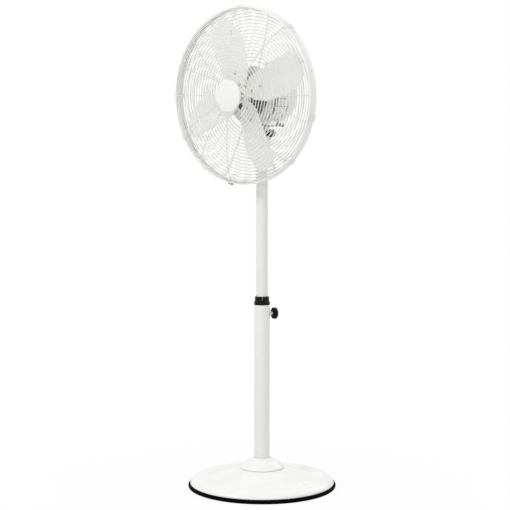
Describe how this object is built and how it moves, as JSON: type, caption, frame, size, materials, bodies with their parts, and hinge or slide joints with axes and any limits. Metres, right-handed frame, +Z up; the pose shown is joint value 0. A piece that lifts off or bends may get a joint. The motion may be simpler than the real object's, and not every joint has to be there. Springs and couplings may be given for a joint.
{
  "type": "pedestal fan",
  "caption": "Pedestal fan: round weighted base, telescopic column, tilting and swinging head with paddle blades in a domed wire guard.",
  "frame": {"origin": "on the floor under the column's axis, at the centre of the round base", "axes": "+Z up along the column, the fan blows towards -Y, +X to the right seen from the front"},
  "size_m": [0.4234, 0.364, 1.1675],
  "materials": {
    "white_paint": "smooth semi-gloss enamel",
    "tube_paint": "smooth semi-gloss enamel on drawn tube",
    "guard_wire": "powder-coated wire",
    "blade_paint": "semi-gloss enamel on sheet",
    "black_plastic": "fine moulded grain",
    "black_rubber": "matt moulded rubber",
    "pale_plastic": "moulded nylon",
    "badge_plastic": "gloss",
    "steel": "zinc-plated steel",
    "dark_steel": "blackened steel",
    "iron": "as cast, black",
    "motor_casting": "fine cast",
    "lamination": "stacked laminations",
    "winding": "enamelled copper"
  },
  "bodies": {
    "base": {"base_edge_ring": "black_rubber", "base_cover": "white_paint", "base_weight": "iron", "column_flange": "white_paint", "flange_screw": "steel", "base_bolt": "steel", "base_washer": "steel", "tube_plug": "steel", "lower_tube": "tube_paint", "clamp_boss": "white_paint", "height_collar": "black_plastic"},
    "clamp": {"clamp_screw": "steel", "clamp_knob": "black_plastic"},
    "mast": {"upper_tube": "tube_paint", "glide_bush": "pale_plastic", "tilt_yoke": "white_paint", "tilt_nut": "dark_steel"},
    "tilt_knob": {"tilt_bolt": "dark_steel", "tilt_knob": "black_plastic"},
    "neck": {"neck": "white_paint", "neck_stud": "dark_steel", "swing_washer": "black_plastic"},
    "link": {"crank_link": "dark_steel"},
    "head": {"swing_pin": "steel", "swing_block": "white_paint", "motor_shell": "motor_casting", "motor_rear_cover": "white_paint", "rear_bell": "motor_casting", "stator_core": "lamination", "stator_coils": "winding", "motor_bearings": "steel", "motor_screws": "steel", "gear_frame": "steel", "capacitor": "black_plastic", "speed_switch": "black_plastic", "cable_gland": "black_plastic", "guard_plate": "white_paint", "guard_screws": "steel", "rear_struts": "guard_wire", "rear_rings": "guard_wire", "rim_band": "white_paint", "rim_screw": "dark_steel", "rim_clips": "guard_wire", "front_struts": "guard_wire", "front_rings": "guard_wire", "front_plate": "white_paint", "badge": "badge_plastic"},
    "speed_knob": {"speed_knob": "black_plastic"},
    "worm_wheel": {"worm_wheel": "pale_plastic"},
    "pinion": {"pinion_shaft": "steel"},
    "clutch_knob": {"clutch_knob": "badge_plastic"},
    "crank": {"crank_gear": "dark_steel"},
    "fan": {"motor_shaft": "steel", "rotor": "lamination", "worm": "steel", "spider": "white_paint", "fan_blades": "blade_paint", "blade_rivets": "steel", "hub_nut": "pale_plastic"}
  },
  "joints": [
    {"name": "clamp_turn", "type": "hinge", "parent": "base", "child": "clamp", "pos_m": [0, 0, 0.4274], "axis": [0.3907, 0.9205, 0], "range_deg": [0, 540]},
    {"name": "height_slide", "type": "slide", "parent": "base", "child": "mast", "axis": [0, 0, 1], "range_m": [-0.29, 0.01]},
    {"name": "tilt", "type": "hinge", "parent": "mast", "child": "neck", "pos_m": [0, 0, 0.8684], "axis": [1, 0, 0], "range_deg": [-24, 6]},
    {"name": "tilt_knob_turn", "type": "hinge", "parent": "mast", "child": "tilt_knob", "pos_m": [0, 0, 0.8684], "axis": [1, 0, 0], "range_deg": [0, 360]},
    {"name": "swing", "type": "hinge", "parent": "neck", "child": "head", "pos_m": [0, -0.0014, 0.88835], "axis": [0, -0.0698, 0.9976], "range_deg": [-40, 40]},
    {"name": "link_turn", "type": "hinge", "parent": "neck", "child": "link", "pos_m": [0.01792, -0.00292, 0.88584], "axis": [0, -0.0698, 0.9976], "range_deg": [-40, 40]},
    {"name": "crank_turn", "type": "hinge", "parent": "head", "child": "crank", "pos_m": [0.00539, 0.05466, 0.9039], "axis": [0, -0.0698, 0.9976], "range_deg": [-57, 57]},
    {"name": "pinion_turn", "type": "hinge", "parent": "head", "child": "pinion", "pos_m": [-0.01661, 0.05326, 0.92385], "axis": [0, -0.0698, 0.9976], "range_deg": [-170, 170]},
    {"name": "fan_spin", "type": "hinge", "parent": "head", "child": "fan", "pos_m": [0, -0.00635, 0.95918], "axis": [0, 0.9976, 0.0698], "continuous": true},
    {"name": "worm_wheel_spin", "type": "hinge", "parent": "head", "child": "worm_wheel", "pos_m": [-0.01661, 0.05051, 0.96315], "axis": [0, -0.0698, 0.9976], "continuous": true},
    {"name": "clutch_push", "type": "slide", "parent": "head", "child": "clutch_knob", "axis": [0, -0.0698, 0.9976], "range_m": [-0.006, 0]},
    {"name": "speed_turn", "type": "hinge", "parent": "head", "child": "speed_knob", "pos_m": [0, 0.07164, 0.9907], "axis": [0, 0.9976, 0.0698], "range_deg": [0, 135]}
  ],
  "couplings": [
    {"joint": "link_turn", "follows": "swing", "ratio": 0.961},
    {"joint": "crank_turn", "follows": "swing", "ratio": -1.393},
    {"joint": "pinion_turn", "follows": "swing", "ratio": 4.179},
    {"joint": "worm_wheel_spin", "follows": "fan_spin", "ratio": -0.033333}
  ]
}
